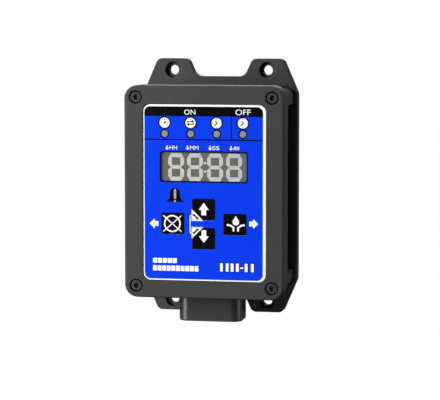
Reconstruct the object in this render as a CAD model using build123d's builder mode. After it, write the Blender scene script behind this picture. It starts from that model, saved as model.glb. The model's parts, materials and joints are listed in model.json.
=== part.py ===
from build123d import *
from math import atan2, degrees, hypot
import os

# Wall-mounted electronic controller in a moulded enclosure.
# Frame: X to the right, Z up, the front faces -Y. The back plane is y = 0 and the origin is the
# centre of the four wall holes. A "level" is the distance in front of that back plane, so
# Plane.XZ.offset(level) is a plane at y = -level whose normal points out of the front.
# All sizes are in millimetres.

# ---- enclosure -----------------------------------------------------------------------------
LID_W = 82.0
LID_H = 108.0
LID_R = 6.7
LID_LEVEL = 50.0            # front face of the lid
LID_DEPTH = 13.0
LID_EDGE_R = 0.9            # rounding of the lid's front edge
PARTING_LEVEL = LID_LEVEL - LID_DEPTH

POST_INSET = 2.2            # corner posts of the base stand inside the lid's outline
POST_LENGTH = 8.5
POST_R = 4.5
WALL_RECESS = 3.2           # walls between the posts stand further in
WALL = 2.8
POST_X = LID_W / 2 - POST_INSET
POST_Z = LID_H / 2 - POST_INSET
WALL_X = POST_X - WALL_RECESS
WALL_Z = POST_Z - WALL_RECESS
CAVITY_W = 2 * (WALL_X - WALL)
CAVITY_H = 2 * (WALL_Z - WALL)
CAVITY_R = 2.0
BACK_WALL = 3.5
FOOT_GROOVE_W = 0.9         # shadow groove in the flange, round the foot of posts and walls
FOOT_GROOVE_DEPTH = 2.0

LID_GROOVE_IN = 0.7         # the seal's groove in the lid, measured out from the cavity
LID_GROOVE_OUT = 2.1
LID_GROOVE_DEPTH = 1.2
SEAL_GAP = 0.1              # between the seal and each side of its groove

LID_SCREW_PITCH_X = 70.0
LID_SCREW_PITCH_Z = 96.0
SCREW_POST_R = 5.0          # solid column left around each lid screw

# ---- wall flange ---------------------------------------------------------------------------
FLANGE_T = 6.0
FLANGE_X = LID_W / 2
EAR_TOP = 66.5
EAR_SHOULDER = 48.6         # where the ear's outer slope meets the full width
EAR_OUTER_X = 33.3
EAR_INNER_X = 17.1
WAIST_X = 12.9
WAIST_Z = 57.2
WALL_HOLE_PITCH_X = 50.0
WALL_HOLE_PITCH_Z = 121.0
WALL_HOLE_R = 2.5
WALL_HOLE_BORE_R = 4.1
WALL_HOLE_BORE_DEPTH = 2.4
RIM_R = 0.5                 # rounded rims of the counterbores

# ---- front panel ---------------------------------------------------------------------------
PANEL_X = 0.34
PANEL_Z = -0.2
PANEL_W = 63.6
PANEL_H = 89.9
PANEL_R = 4.0
PANEL_RECESS = 1.0
PANEL_EDGE_R = 0.2          # rounding of the recess's front edge
FILM_T = 0.5
FILM_GAP = 0.3
FILM_LEVEL = LID_LEVEL - PANEL_RECESS       # back of the overlay film
FILM_FRONT = FILM_LEVEL + FILM_T
LID_INNER_LEVEL = 47.2                      # inside face of the lid's front wall

WINDOW_Z = 12.9
WINDOW_W = 44.4
WINDOW_H = 15.1
WINDOW_R = 1.6
LED_X = [-20.1, -6.7, 6.7, 20.1]
LED_Z = 29.7
LED_WINDOW_R = 1.7
ALARM_X = -14.8
ALARM_BAR_Z = -0.9
ALARM_BAR_W = 1.3
ALARM_BAR_H = 5.2
ALARM_DOT_Z = -4.45
ALARM_DOT_R = 0.55
ALARM_LAMP_Z = -1.6         # the lamp and its slot in the lid, behind bar and dot
ALARM_SLOT_LENGTH = 5.2     # between the centres of the slot's ends
ALARM_SLOT_W = 2.6

KEY_W = 11.6
KEY_H = 10.6
KEY_R = 0.4
KEY_EDGE_R = 0.12
KEY_GAP = 0.15
KEY_TRAVEL = 0.4
KEY_LIP = 0.8               # flange behind the lid wall that keeps the key in
KEY_LIP_T = 0.8
KEY_LIP_GAP = 0.05
KEY_LIP_R = 1.0
KEY_STEM_R = 1.75
KEY_PLACES = {
    "up": (0.0, -8.5),
    "down": (0.0, -23.35),
    "left": (-15.9, -15.85),
    "right": (16.1, -15.85),
}

# ---- front board: display, lamps and switches ------------------------------------------------
FRONT_BOARD_LEVEL = 38.2    # front face of the front board
DISPLAY_FACE_LEVEL = FILM_LEVEL - 0.2       # the module's face is just behind the film
DISPLAY_DEPTH = DISPLAY_FACE_LEVEL - FRONT_BOARD_LEVEL
DISPLAY_W = 47.5
DISPLAY_H = 19.0
DISPLAY_GAP = 0.2           # around the module, in the lid's opening
DISPLAY_Z = 12.8
DIGIT_X = [-14.35, -4.55, 5.75, 15.5]
DIGIT_W = 8.2
DIGIT_H = 14.0
BAR_W = 1.95                # width of a digit's upright segments
BAR_H = 2.1                 # height of its top and bottom segments
MIDDLE_BAR_H = 1.9
CORNER_W = 1.5              # bevel of the digit's outer corners
CORNER_H = 2.6
NOTCH_W = 1.5               # notch at the digit's waist
NOTCH_H = 1.5
SEGMENT_GAP = 0.14
SEGMENT_DEPTH = 0.4
COLON_X = 0.65
COLON_RISE = 2.15
COLON_R = 0.65
DISPLAY_PIN_PITCH = 5.08
DISPLAY_PIN_ROWS = 15.24
LAMP_WIRE_PITCH = 2.54

BOARD_T = 1.6
FRONT_BOARD_W = 62.0
FRONT_BOARD_H = 84.0
BOARD_CORNER = 8.0          # corners cut away around the screw columns
FRONT_SCREW_X = 27.0
FRONT_SCREW_Z = 33.5

SWITCH_SIZE = 6.0
SWITCH_H = 3.5
SWITCH_TOP = FRONT_BOARD_LEVEL + SWITCH_H
SWITCH_WELL = 2.2           # depth of the round well for the stem
SWITCH_LEG_X = 6.5          # leg to leg
SWITCH_LEG_Z = 4.5
SWITCH_LEG_W = 0.4
SWITCH_LEG_H = 0.7
SWITCH_LEG_TOP = 1.6
STEM_CLEARANCE = 0.1
DOME_T = 0.25
STEM_FOOT = SWITCH_TOP - SWITCH_WELL + DOME_T + KEY_TRAVEL + STEM_CLEARANCE
LEG_REACH = 1.2             # wires and legs stand out this far behind the board

# ---- main board ------------------------------------------------------------------------------
MAIN_BOARD_BACK = 10.0
MAIN_BOARD_FRONT = MAIN_BOARD_BACK + BOARD_T
MAIN_BOARD_W = 62.0
MAIN_BOARD_H = 86.0
MAIN_SCREW_X = 27.0
MAIN_SCREW_Z = 33.5
BOSS_R = 3.0

# ---- connector in the bottom wall ------------------------------------------------------------
PORT_W = 33.0
PORT_DEPTH = 20.0
PORT_R = 5.5
PORT_Y = -25.5              # centre of the shroud
PORT_BOTTOM = -67.8
PORT_WALL = 1.8
PORT_RIM_R = 0.5
PORT_FLOOR = -53.0          # inner end of the shroud's socket
PORT_FLANGE = 2.6           # the flange inside the wall stands out this far
PORT_FLANGE_T = 2.0
PORT_SEAL_T = 0.8
SEAL_W = PORT_W + 2 * PORT_FLANGE - 0.6
SEAL_DEPTH = PORT_DEPTH + 2 * PORT_FLANGE - 0.6
PORT_GAP = 0.2              # round the shroud in the bottom wall
PIN_COLUMNS = 6
PIN_PITCH_X = 4.2
PIN_PITCH_Y = 4.6
PIN_R = 0.6
PIN_TIP = -61.0

# ---- fasteners ---------------------------------------------------------------------------------
LID_SCREW_HEAD_R = 2.7
LID_SCREW_HEAD_H = 3.0
LID_SCREW_BORE_R = 3.35
LID_SCREW_RIM_R = 0.3
LID_SCREW_SEAT = LID_LEVEL - 3.6
LID_SCREW_LENGTH = 16.0
LID_SCREW_R = 1.45
LID_SCREW_HOLE_R = 1.7
LID_SCREW_HEX = 2.5         # across the flats
INSERT_R = 2.1
INSERT_LENGTH = 5.7
INSERT_SINK = 0.2           # inserts end this far below the rim
INSERT_HOLE_DEPTH = 8.0     # room for the screw's tip behind the insert
INSERT_GROOVE = 0.3
INSERT_GROOVE_W = 0.7
LID_SCREW_HEX_DEPTH = 1.6
BOARD_SCREW_R = 1.2
BOARD_SCREW_HEAD_R = 2.3
BOARD_SCREW_HEAD_H = 1.8
BOARD_SCREW_HOLE_R = 1.25
BOARD_SCREW_HOLE_DEPTH = 7.5
BOARD_SCREW_REACH = 6.0     # thread beyond the board
BOARD_SCREW_SLOT_L = 2.6
BOARD_SCREW_SLOT_W = 0.6
BOARD_SCREW_SLOT_DEPTH = 1.1
BOARD_HOLE_R = 1.5

os.makedirs("parts", exist_ok=True)


def front(level):
    """The plane parallel to the wall at a level, facing the viewer."""
    return Plane.XZ.offset(level)


def save(part, name):
    """Label a finished piece and write its file."""
    part.label = name
    export_step(part, "parts/" + name + ".step")


def cavity_outline(grow=0.0):
    """The enclosure's inner outline, round the four screw columns, in the sketch in hand."""
    RectangleRounded(CAVITY_W + 2 * grow, CAVITY_H + 2 * grow, CAVITY_R + grow)
    with GridLocations(LID_SCREW_PITCH_X, LID_SCREW_PITCH_Z, 2, 2):
        Circle(SCREW_POST_R - grow, mode=Mode.SUBTRACT)


def board_outline(width, height):
    """A circuit board's outline with its four corners cut back."""
    Rectangle(width, height)
    with GridLocations(width, height, 2, 2):
        Rectangle(BOARD_CORNER, BOARD_CORNER, mode=Mode.SUBTRACT)


# ================ base housing ================
with BuildPart() as base_housing:
    with BuildSketch(front(0)) as flange_outline:
        with BuildLine():
            Polyline(
                (0, WAIST_Z),
                (WAIST_X, WAIST_Z),
                (EAR_INNER_X, EAR_TOP),
                (EAR_OUTER_X, EAR_TOP),
                (FLANGE_X, EAR_SHOULDER),
                (FLANGE_X, 0),
                (0, 0),
                close=True,
            )
        make_face()
        mirror(about=Plane.YZ)
        mirror(about=Plane.XZ)
        corners = flange_outline.vertices()
        fillet(corners.filter_by(lambda v: abs(v.Y) > EAR_TOP - 0.1), radius=3.2)
        corners = flange_outline.vertices()
        fillet(
            corners.filter_by(lambda v: abs(abs(v.X) - WAIST_X) < 0.1 and abs(abs(v.Y) - WAIST_Z) < 0.1),
            radius=5.0,
        )
        corners = flange_outline.vertices()
        fillet(corners.filter_by(lambda v: abs(v.X) > FLANGE_X - 0.1), radius=3.0)
    extrude(amount=FLANGE_T)
    front_rim = base_housing.faces().sort_by(Axis.Y)[0].edges()
    fillet(front_rim, radius=0.4)

    with BuildSketch(front(FLANGE_T)) as shell_outline:
        RectangleRounded(2 * POST_X, 2 * POST_Z, POST_R)
        with Locations((POST_X, 0), (-POST_X, 0)):
            Rectangle(2 * WALL_RECESS, 2 * (POST_Z - POST_LENGTH), mode=Mode.SUBTRACT)
        with Locations((0, POST_Z), (0, -POST_Z)):
            Rectangle(2 * (POST_X - POST_LENGTH), 2 * WALL_RECESS, mode=Mode.SUBTRACT)
        inner_corners = shell_outline.vertices().filter_by(
            lambda v: abs(v.X) < WALL_X + 0.1 and abs(v.Y) < WALL_Z + 0.1
        )
        fillet(inner_corners, radius=1.5)
    extrude(amount=PARTING_LEVEL - FLANGE_T)
    with BuildSketch(front(FLANGE_T)):
        add(shell_outline.sketch_local)
        offset(amount=FOOT_GROOVE_W)
        add(shell_outline.sketch_local, mode=Mode.SUBTRACT)
    extrude(amount=-FOOT_GROOVE_DEPTH, mode=Mode.SUBTRACT)

    with BuildSketch(front(BACK_WALL)):
        cavity_outline()
    extrude(amount=PARTING_LEVEL - BACK_WALL, mode=Mode.SUBTRACT)

    with BuildSketch(front(BACK_WALL)):
        with GridLocations(2 * MAIN_SCREW_X, 2 * MAIN_SCREW_Z, 2, 2):
            Circle(BOSS_R)
    extrude(amount=MAIN_BOARD_BACK - BACK_WALL)
    with BuildSketch(front(MAIN_BOARD_BACK)):
        with GridLocations(2 * MAIN_SCREW_X, 2 * MAIN_SCREW_Z, 2, 2):
            Circle(BOARD_SCREW_HOLE_R)
    extrude(amount=-BOARD_SCREW_HOLE_DEPTH + 1.5, mode=Mode.SUBTRACT)

    with BuildSketch(front(PARTING_LEVEL)):
        with GridLocations(LID_SCREW_PITCH_X, LID_SCREW_PITCH_Z, 2, 2):
            Circle(INSERT_R)
    extrude(amount=-INSERT_HOLE_DEPTH, mode=Mode.SUBTRACT)

    with Locations(front(FLANGE_T)):
        with GridLocations(WALL_HOLE_PITCH_X, WALL_HOLE_PITCH_Z, 2, 2):
            CounterBoreHole(WALL_HOLE_R, WALL_HOLE_BORE_R, WALL_HOLE_BORE_DEPTH)
    bore_rims = base_housing.edges().filter_by(
        lambda e: e.geom_type == GeomType.CIRCLE and abs(e.radius - WALL_HOLE_BORE_R) < 0.01
    )
    fillet(bore_rims.filter_by_position(Axis.Y, -FLANGE_T - 0.01, -FLANGE_T + 0.01), radius=RIM_R)

    with BuildSketch(Plane.XY.offset(-POST_Z)):
        with Locations((0, PORT_Y)):
            RectangleRounded(PORT_W + 2 * PORT_GAP, PORT_DEPTH + 2 * PORT_GAP, PORT_R)
    extrude(amount=POST_Z - CAVITY_H / 2 + 1.0, mode=Mode.SUBTRACT)
save(base_housing.part, "base_housing")

# ================ lid ================
with BuildPart() as lid:
    with BuildSketch(front(PARTING_LEVEL)):
        RectangleRounded(LID_W, LID_H, LID_R)
    extrude(amount=LID_DEPTH)
    fillet(lid.faces().sort_by(Axis.Y)[0].edges(), radius=LID_EDGE_R)

    with BuildSketch(front(LID_LEVEL)):
        with Locations((PANEL_X, PANEL_Z)):
            RectangleRounded(PANEL_W, PANEL_H, PANEL_R)
    extrude(amount=-PANEL_RECESS, mode=Mode.SUBTRACT)
    front_edges = lid.edges().filter_by_position(Axis.Y, -LID_LEVEL - 0.01, -LID_LEVEL + 0.01)
    recess_rim = front_edges.filter_by(
        lambda e: abs(e.center().X - PANEL_X) < PANEL_W / 2 + 0.1 and abs(e.center().Z) < PANEL_H / 2 + 1
    )
    fillet(recess_rim, radius=PANEL_EDGE_R)

    with BuildSketch(front(PARTING_LEVEL)):
        cavity_outline()
    extrude(amount=LID_INNER_LEVEL - PARTING_LEVEL, mode=Mode.SUBTRACT)

    with BuildSketch(front(PARTING_LEVEL)) as groove_sketch:
        cavity_outline(LID_GROOVE_OUT)
        with BuildSketch(front(PARTING_LEVEL), mode=Mode.PRIVATE) as groove_core:
            cavity_outline(LID_GROOVE_IN)
        add(groove_core.sketch_local, mode=Mode.SUBTRACT)
    extrude(amount=LID_GROOVE_DEPTH, mode=Mode.SUBTRACT)

    with BuildSketch(front(FRONT_BOARD_LEVEL)):
        with GridLocations(2 * FRONT_SCREW_X, 2 * FRONT_SCREW_Z, 2, 2):
            Circle(BOSS_R)
    extrude(amount=LID_INNER_LEVEL - FRONT_BOARD_LEVEL)
    with BuildSketch(front(FRONT_BOARD_LEVEL)):
        with GridLocations(2 * FRONT_SCREW_X, 2 * FRONT_SCREW_Z, 2, 2):
            Circle(BOARD_SCREW_HOLE_R)
    extrude(amount=BOARD_SCREW_HOLE_DEPTH, mode=Mode.SUBTRACT)

    with BuildSketch(front(FILM_LEVEL)):
        with Locations((0, DISPLAY_Z)):
            Rectangle(DISPLAY_W + 2 * DISPLAY_GAP, DISPLAY_H + 2 * DISPLAY_GAP)
        with Locations(*[(x, LED_Z) for x in LED_X]):
            Circle(LED_WINDOW_R)
        with Locations((ALARM_X, ALARM_LAMP_Z)):
            SlotCenterToCenter(ALARM_SLOT_LENGTH, ALARM_SLOT_W, rotation=90)
        for key_x, key_z in KEY_PLACES.values():
            with Locations((key_x, key_z)):
                RectangleRounded(KEY_W + 2 * KEY_GAP, KEY_H + 2 * KEY_GAP, KEY_R + KEY_GAP)
    extrude(amount=LID_INNER_LEVEL - FILM_LEVEL, mode=Mode.SUBTRACT)

    with BuildSketch(front(LID_LEVEL)):
        with GridLocations(LID_SCREW_PITCH_X, LID_SCREW_PITCH_Z, 2, 2):
            Circle(LID_SCREW_BORE_R)
    extrude(amount=LID_SCREW_SEAT - LID_LEVEL, mode=Mode.SUBTRACT)
    bore_rims = lid.edges().filter_by(
        lambda e: e.geom_type == GeomType.CIRCLE and abs(e.radius - LID_SCREW_BORE_R) < 0.01
    )
    fillet(bore_rims.filter_by_position(Axis.Y, -LID_LEVEL - 0.01, -LID_LEVEL + 0.01), radius=LID_SCREW_RIM_R)
    with BuildSketch(front(LID_SCREW_SEAT)):
        with GridLocations(LID_SCREW_PITCH_X, LID_SCREW_PITCH_Z, 2, 2):
            Circle(LID_SCREW_HOLE_R)
    extrude(amount=PARTING_LEVEL - LID_SCREW_SEAT, mode=Mode.SUBTRACT)
save(lid.part, "lid")

# The seal fills the lid's groove and rests on the base's rim.
with BuildPart() as lid_gasket:
    with BuildSketch(front(PARTING_LEVEL)):
        cavity_outline(LID_GROOVE_OUT - SEAL_GAP)
        with BuildSketch(front(PARTING_LEVEL), mode=Mode.PRIVATE) as gasket_core:
            cavity_outline(LID_GROOVE_IN + SEAL_GAP)
        add(gasket_core.sketch_local, mode=Mode.SUBTRACT)
    extrude(amount=LID_GROOVE_DEPTH)
save(lid_gasket.part, "lid_gasket")

# Four socket-head cap screws close the lid.
with BuildPart() as lid_screws:
    with BuildSketch(front(LID_SCREW_SEAT)):
        with GridLocations(LID_SCREW_PITCH_X, LID_SCREW_PITCH_Z, 2, 2):
            Circle(LID_SCREW_HEAD_R)
    extrude(amount=LID_SCREW_HEAD_H)
    head_rims = lid_screws.edges().filter_by(GeomType.CIRCLE).group_by(Axis.Y)[0]
    fillet(head_rims, radius=0.25)
    with BuildSketch(front(LID_SCREW_SEAT)):
        with GridLocations(LID_SCREW_PITCH_X, LID_SCREW_PITCH_Z, 2, 2):
            Circle(LID_SCREW_R)
    extrude(amount=-LID_SCREW_LENGTH)
    with BuildSketch(front(LID_SCREW_SEAT + LID_SCREW_HEAD_H)):
        with GridLocations(LID_SCREW_PITCH_X, LID_SCREW_PITCH_Z, 2, 2):
            RegularPolygon(LID_SCREW_HEX / 2, 6, major_radius=False)
    extrude(amount=-LID_SCREW_HEX_DEPTH, mode=Mode.SUBTRACT)
save(lid_screws.part, "lid_screws")

# Brass inserts, with two grooves each, are moulded into the corner posts.
with BuildPart() as lid_inserts:
    with BuildSketch(front(PARTING_LEVEL - INSERT_SINK)):
        with GridLocations(LID_SCREW_PITCH_X, LID_SCREW_PITCH_Z, 2, 2):
            Circle(INSERT_R)
            Circle(LID_SCREW_R + 0.05, mode=Mode.SUBTRACT)
    extrude(amount=-INSERT_LENGTH)
    for groove_level in (PARTING_LEVEL - 2.4, PARTING_LEVEL - 4.4):
        with BuildSketch(front(groove_level)):
            with GridLocations(LID_SCREW_PITCH_X, LID_SCREW_PITCH_Z, 2, 2):
                Circle(INSERT_R + INSERT_GROOVE)
                Circle(INSERT_R - INSERT_GROOVE, mode=Mode.SUBTRACT)
        extrude(amount=INSERT_GROOVE_W, mode=Mode.SUBTRACT)
save(lid_inserts.part, "lid_inserts")

# ================ overlay and windows ================
with BuildPart() as graphic_overlay:
    with BuildSketch(front(FILM_LEVEL)):
        with Locations((PANEL_X, PANEL_Z)):
            RectangleRounded(PANEL_W - 2 * FILM_GAP, PANEL_H - 2 * FILM_GAP, PANEL_R - FILM_GAP)
        with Locations((0, WINDOW_Z)):
            RectangleRounded(WINDOW_W, WINDOW_H, WINDOW_R, mode=Mode.SUBTRACT)
        with Locations(*[(x, LED_Z) for x in LED_X]):
            Circle(LED_WINDOW_R, mode=Mode.SUBTRACT)
        with Locations((ALARM_X, ALARM_BAR_Z)):
            SlotOverall(ALARM_BAR_H, ALARM_BAR_W, rotation=90, mode=Mode.SUBTRACT)
        with Locations((ALARM_X, ALARM_DOT_Z)):
            Circle(ALARM_DOT_R, mode=Mode.SUBTRACT)
        for key_x, key_z in KEY_PLACES.values():
            with Locations((key_x, key_z)):
                RectangleRounded(
                    KEY_W + 2 * KEY_GAP, KEY_H + 2 * KEY_GAP, KEY_R + KEY_GAP, mode=Mode.SUBTRACT
                )
    extrude(amount=FILM_T)
save(graphic_overlay.part, "graphic_overlay")

with BuildPart() as display_window:
    with BuildSketch(front(FILM_LEVEL)):
        with Locations((0, WINDOW_Z)):
            RectangleRounded(WINDOW_W, WINDOW_H, WINDOW_R)
    extrude(amount=FILM_T)
save(display_window.part, "display_window")

with BuildPart() as led_windows:
    with BuildSketch(front(FILM_LEVEL)):
        with Locations(*[(x, LED_Z) for x in LED_X]):
            Circle(LED_WINDOW_R)
    extrude(amount=FILM_T)
save(led_windows.part, "led_windows")

with BuildPart() as alarm_window:
    with BuildSketch(front(FILM_LEVEL)):
        with Locations((ALARM_X, ALARM_BAR_Z)):
            SlotOverall(ALARM_BAR_H, ALARM_BAR_W, rotation=90)
        with Locations((ALARM_X, ALARM_DOT_Z)):
            Circle(ALARM_DOT_R)
    extrude(amount=FILM_T)
save(alarm_window.part, "alarm_window")

# ================ keys ================
for key_name, (key_x, key_z) in KEY_PLACES.items():
    # The cap fills its opening in the lid and has a lip behind the lid's wall.
    with BuildPart() as key_cap:
        with BuildSketch(front(LID_INNER_LEVEL)):
            with Locations((key_x, key_z)):
                RectangleRounded(KEY_W, KEY_H, KEY_R)
        extrude(amount=FILM_FRONT - LID_INNER_LEVEL)
        with BuildSketch(front(LID_INNER_LEVEL - KEY_LIP_GAP)):
            with Locations((key_x, key_z)):
                RectangleRounded(KEY_W + 2 * KEY_LIP, KEY_H + 2 * KEY_LIP, KEY_LIP_R)
        extrude(amount=-KEY_LIP_T)
        with BuildSketch(front(LID_INNER_LEVEL - KEY_LIP_GAP)):
            with Locations((key_x, key_z)):
                RectangleRounded(KEY_W, KEY_H, KEY_R)
        extrude(amount=KEY_LIP_GAP)
        fillet(key_cap.faces().sort_by(Axis.Y)[0].edges(), radius=KEY_EDGE_R)
    save(key_cap.part, "key_" + key_name + "_cap")

    # The stem is the switch's own button, long enough to reach the cap.
    with BuildPart() as key_stem:
        with BuildSketch(front(STEM_FOOT)):
            with Locations((key_x, key_z)):
                Circle(KEY_STEM_R)
        extrude(amount=LID_INNER_LEVEL - KEY_LIP_GAP - KEY_LIP_T - STEM_FOOT)
    save(key_stem.part, "key_" + key_name + "_stem")

# Four tact switches on the front board, each with a round well for its stem.
with BuildPart() as switch_bodies:
    with BuildSketch(front(FRONT_BOARD_LEVEL)):
        with Locations(*KEY_PLACES.values()):
            RectangleRounded(SWITCH_SIZE, SWITCH_SIZE, 0.4)
    extrude(amount=SWITCH_H)
    with BuildSketch(front(SWITCH_TOP)):
        with Locations(*KEY_PLACES.values()):
            Circle(KEY_STEM_R + STEM_CLEARANCE)
    extrude(amount=-SWITCH_WELL, mode=Mode.SUBTRACT)
save(switch_bodies.part, "switch_bodies")

# The snap domes bulge towards the stems and stand clear of them over the whole travel.
with BuildPart() as switch_domes:
    with BuildSketch(front(SWITCH_TOP - SWITCH_WELL)):
        with Locations(*KEY_PLACES.values()):
            Circle(KEY_STEM_R - 0.1)
    extrude(amount=DOME_T)
    fillet(switch_domes.edges().filter_by(GeomType.CIRCLE).group_by(Axis.Y)[0], radius=0.2)
save(switch_domes.part, "switch_domes")

# Each switch has four legs that pass through the front board.
with BuildPart() as switch_legs:
    with BuildSketch(front(FRONT_BOARD_LEVEL)):
        for key_x, key_z in KEY_PLACES.values():
            with Locations((key_x, key_z)):
                with GridLocations(SWITCH_LEG_X, SWITCH_LEG_Z, 2, 2):
                    Rectangle(SWITCH_LEG_W, SWITCH_LEG_H)
    extrude(amount=-BOARD_T - LEG_REACH)
    with BuildSketch(front(FRONT_BOARD_LEVEL)):
        for key_x, key_z in KEY_PLACES.values():
            with Locations((key_x, key_z)):
                with GridLocations(SWITCH_LEG_X, SWITCH_LEG_Z, 2, 2):
                    Rectangle(SWITCH_LEG_W, SWITCH_LEG_H)
    extrude(amount=SWITCH_LEG_TOP)
save(switch_legs.part, "switch_legs")


# ================ display ================
def digit_outline():
    """The outline of all four digits and the colon, with the digits' hollows, in the sketch in hand."""
    half_w = DIGIT_W / 2
    half_h = DIGIT_H / 2
    hollow_w = DIGIT_W - 2 * BAR_W
    hollow_h = (DIGIT_H - 2 * BAR_H - MIDDLE_BAR_H) / 2
    with Locations(*[(x, DISPLAY_Z) for x in DIGIT_X]):
        Polygon(
            (half_w - CORNER_W, half_h),
            (half_w, half_h - CORNER_H),
            (half_w, NOTCH_H),
            (half_w - NOTCH_W, 0),
            (half_w, -NOTCH_H),
            (half_w, -half_h + CORNER_H),
            (half_w - CORNER_W, -half_h),
            (-half_w + CORNER_W, -half_h),
            (-half_w, -half_h + CORNER_H),
            (-half_w, -NOTCH_H),
            (-half_w + NOTCH_W, 0),
            (-half_w, NOTCH_H),
            (-half_w, half_h - CORNER_H),
            (-half_w + CORNER_W, half_h),
            align=None,
        )
        with GridLocations(1, hollow_h + MIDDLE_BAR_H, 1, 2):
            Rectangle(hollow_w, hollow_h, mode=Mode.SUBTRACT)
    with Locations((COLON_X, DISPLAY_Z + COLON_RISE), (COLON_X, DISPLAY_Z - COLON_RISE)):
        Circle(COLON_R)


def cut_between_segments():
    """Thin slits that part each digit into its seven segments, in the sketch in hand."""
    half_w = DIGIT_W / 2
    half_h = DIGIT_H / 2
    for side in (-1, 1):
        for end in (-1, 1):
            inner_corner = (side * (half_w - BAR_W), end * (half_h - BAR_H))
            outer_corner = (side * (half_w - CORNER_W / 2), end * (half_h - CORNER_H / 2))
            middle_corner = (side * (half_w - BAR_W), end * MIDDLE_BAR_H / 2)
            notch = (side * (half_w - NOTCH_W), 0)
            for start, finish in ((inner_corner, outer_corner), (middle_corner, notch)):
                run_x = finish[0] - start[0]
                run_z = finish[1] - start[1]
                turn = degrees(atan2(run_z, run_x))
                middle = ((start[0] + finish[0]) / 2, (start[1] + finish[1]) / 2)
                length = hypot(run_x, run_z) + 2 * SEGMENT_GAP
                for digit_x in DIGIT_X:
                    with Locations(Location((digit_x + middle[0], DISPLAY_Z + middle[1]), turn)):
                        Rectangle(length, SEGMENT_GAP, mode=Mode.SUBTRACT)


with BuildPart() as display_segments:
    with BuildSketch(front(DISPLAY_FACE_LEVEL - SEGMENT_DEPTH)):
        digit_outline()
        cut_between_segments()
    extrude(amount=SEGMENT_DEPTH)
save(display_segments.part, "display_segments")

with BuildPart() as display_module:
    with BuildSketch(front(FRONT_BOARD_LEVEL)):
        with Locations((0, DISPLAY_Z)):
            Rectangle(DISPLAY_W, DISPLAY_H)
    extrude(amount=DISPLAY_DEPTH)
    with BuildSketch(front(DISPLAY_FACE_LEVEL)):
        digit_outline()
    extrude(amount=-SEGMENT_DEPTH, mode=Mode.SUBTRACT)
save(display_module.part, "display_module")

with BuildPart() as display_pins:
    with BuildSketch(front(FRONT_BOARD_LEVEL)):
        with Locations((0, DISPLAY_Z)):
            with GridLocations(DISPLAY_PIN_PITCH, DISPLAY_PIN_ROWS, 6, 2):
                Circle(0.3)
    extrude(amount=-BOARD_T - LEG_REACH)
save(display_pins.part, "display_pins")

# ================ lamps ================
LAMP_R = 1.5
LAMP_FOOT = 1.0
LAMP_BODY = 6.4             # from the board to the start of the dome
LAMP_PLACES = {"status_leds": [(x, LED_Z) for x in LED_X], "alarm_led": [(ALARM_X, ALARM_LAMP_Z)]}

# Each lamp has a flange at its foot and a domed end, and stands on the front board.
for lamp_node, places in LAMP_PLACES.items():
    with BuildPart() as lamps:
        with BuildSketch(front(FRONT_BOARD_LEVEL)):
            with Locations(*places):
                Circle(LAMP_R + 0.4)
        extrude(amount=LAMP_FOOT)
        with BuildSketch(front(FRONT_BOARD_LEVEL + LAMP_FOOT)):
            with Locations(*places):
                Circle(LAMP_R)
        extrude(amount=LAMP_BODY - LAMP_FOOT)
        with Locations(*[(x, -(FRONT_BOARD_LEVEL + LAMP_BODY), z) for x, z in places]):
            Sphere(LAMP_R)
    save(lamps.part, lamp_node)

with BuildPart() as led_leads:
    with BuildSketch(front(FRONT_BOARD_LEVEL)):
        for places in LAMP_PLACES.values():
            with Locations(*places):
                with GridLocations(LAMP_WIRE_PITCH, 1, 2, 1):
                    Rectangle(0.5, 0.5)
    extrude(amount=-BOARD_T - LEG_REACH)
save(led_leads.part, "led_leads")

# ================ front board ================
LINK_X = 0.0
LINK_Z = 38.2
LINK_PINS = 12
LINK_PITCH = 2.0

with BuildPart() as front_board:
    with BuildSketch(front(FRONT_BOARD_LEVEL - BOARD_T)):
        board_outline(FRONT_BOARD_W, FRONT_BOARD_H)
        with GridLocations(2 * FRONT_SCREW_X, 2 * FRONT_SCREW_Z, 2, 2):
            Circle(BOARD_HOLE_R, mode=Mode.SUBTRACT)
        for key_x, key_z in KEY_PLACES.values():
            with Locations((key_x, key_z)):
                with GridLocations(SWITCH_LEG_X, SWITCH_LEG_Z, 2, 2):
                    Rectangle(SWITCH_LEG_W + 0.2, SWITCH_LEG_H + 0.2, mode=Mode.SUBTRACT)
        with Locations((0, DISPLAY_Z)):
            with GridLocations(DISPLAY_PIN_PITCH, DISPLAY_PIN_ROWS, 6, 2):
                Circle(0.45, mode=Mode.SUBTRACT)
        for places in LAMP_PLACES.values():
            with Locations(*places):
                with GridLocations(LAMP_WIRE_PITCH, 1, 2, 1):
                    Circle(0.5, mode=Mode.SUBTRACT)
        with Locations((LINK_X, LINK_Z)):
            with GridLocations(LINK_PITCH, 1, LINK_PINS, 1):
                Circle(0.4, mode=Mode.SUBTRACT)
    extrude(amount=BOARD_T)
save(front_board.part, "front_board")

with BuildPart() as front_board_screws:
    with BuildSketch(front(FRONT_BOARD_LEVEL - BOARD_T)):
        with GridLocations(2 * FRONT_SCREW_X, 2 * FRONT_SCREW_Z, 2, 2):
            Circle(BOARD_SCREW_HEAD_R)
    extrude(amount=-BOARD_SCREW_HEAD_H)
    fillet(front_board_screws.edges().filter_by(GeomType.CIRCLE).group_by(Axis.Y)[-1], radius=0.6)
    with BuildSketch(front(FRONT_BOARD_LEVEL - BOARD_T)):
        with GridLocations(2 * FRONT_SCREW_X, 2 * FRONT_SCREW_Z, 2, 2):
            Circle(BOARD_SCREW_R)
    extrude(amount=BOARD_T + BOARD_SCREW_REACH)
    with BuildSketch(front(FRONT_BOARD_LEVEL - BOARD_T - BOARD_SCREW_HEAD_H)):
        with GridLocations(2 * FRONT_SCREW_X, 2 * FRONT_SCREW_Z, 2, 2):
            Rectangle(BOARD_SCREW_SLOT_L, BOARD_SCREW_SLOT_W)
            Rectangle(BOARD_SCREW_SLOT_W, BOARD_SCREW_SLOT_L)
    extrude(amount=BOARD_SCREW_SLOT_DEPTH, mode=Mode.SUBTRACT)
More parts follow.
